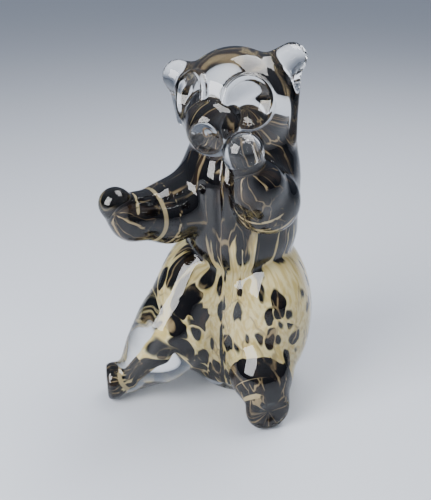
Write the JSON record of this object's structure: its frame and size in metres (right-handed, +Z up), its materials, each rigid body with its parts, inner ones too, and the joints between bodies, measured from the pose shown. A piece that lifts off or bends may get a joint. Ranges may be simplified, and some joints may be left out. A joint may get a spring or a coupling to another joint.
{
  "type": "glass bear figurine",
  "caption": "Seated bear of solid cased art glass, with a clear head, ears and muzzle, spotted colour inside, reaching arms and splayed legs.",
  "frame": {"origin": "middle of the ground face under the seat", "axes": "+Z up the body to the head, -Y the way the bear faces, +X the bear's own left"},
  "size_m": [0.1264, 0.1101, 0.2219],
  "materials": {
    "clear_crystal": "fire-polished clear crystal",
    "spotted_glass": "cream glass with black chips, gloss",
    "black_glass": "near-black brown glass, gloss"
  },
  "bodies": {
    "root": {"body_core": "black_glass", "body_overlay": "spotted_glass", "body_casing": "clear_crystal", "right_arm_core": "black_glass", "right_arm_overlay": "spotted_glass", "right_arm_casing": "clear_crystal", "left_arm_core": "black_glass", "left_arm_overlay": "spotted_glass", "left_arm_casing": "clear_crystal", "right_leg_core": "black_glass", "right_leg_overlay": "spotted_glass", "right_leg_casing": "clear_crystal", "left_leg_core": "black_glass", "left_leg_overlay": "spotted_glass", "left_leg_casing": "clear_crystal", "right_paw": "clear_crystal", "left_paw": "clear_crystal", "head": "clear_crystal", "muzzle": "clear_crystal", "right_ear": "clear_crystal", "left_ear": "clear_crystal"}
  },
  "joints": []
}
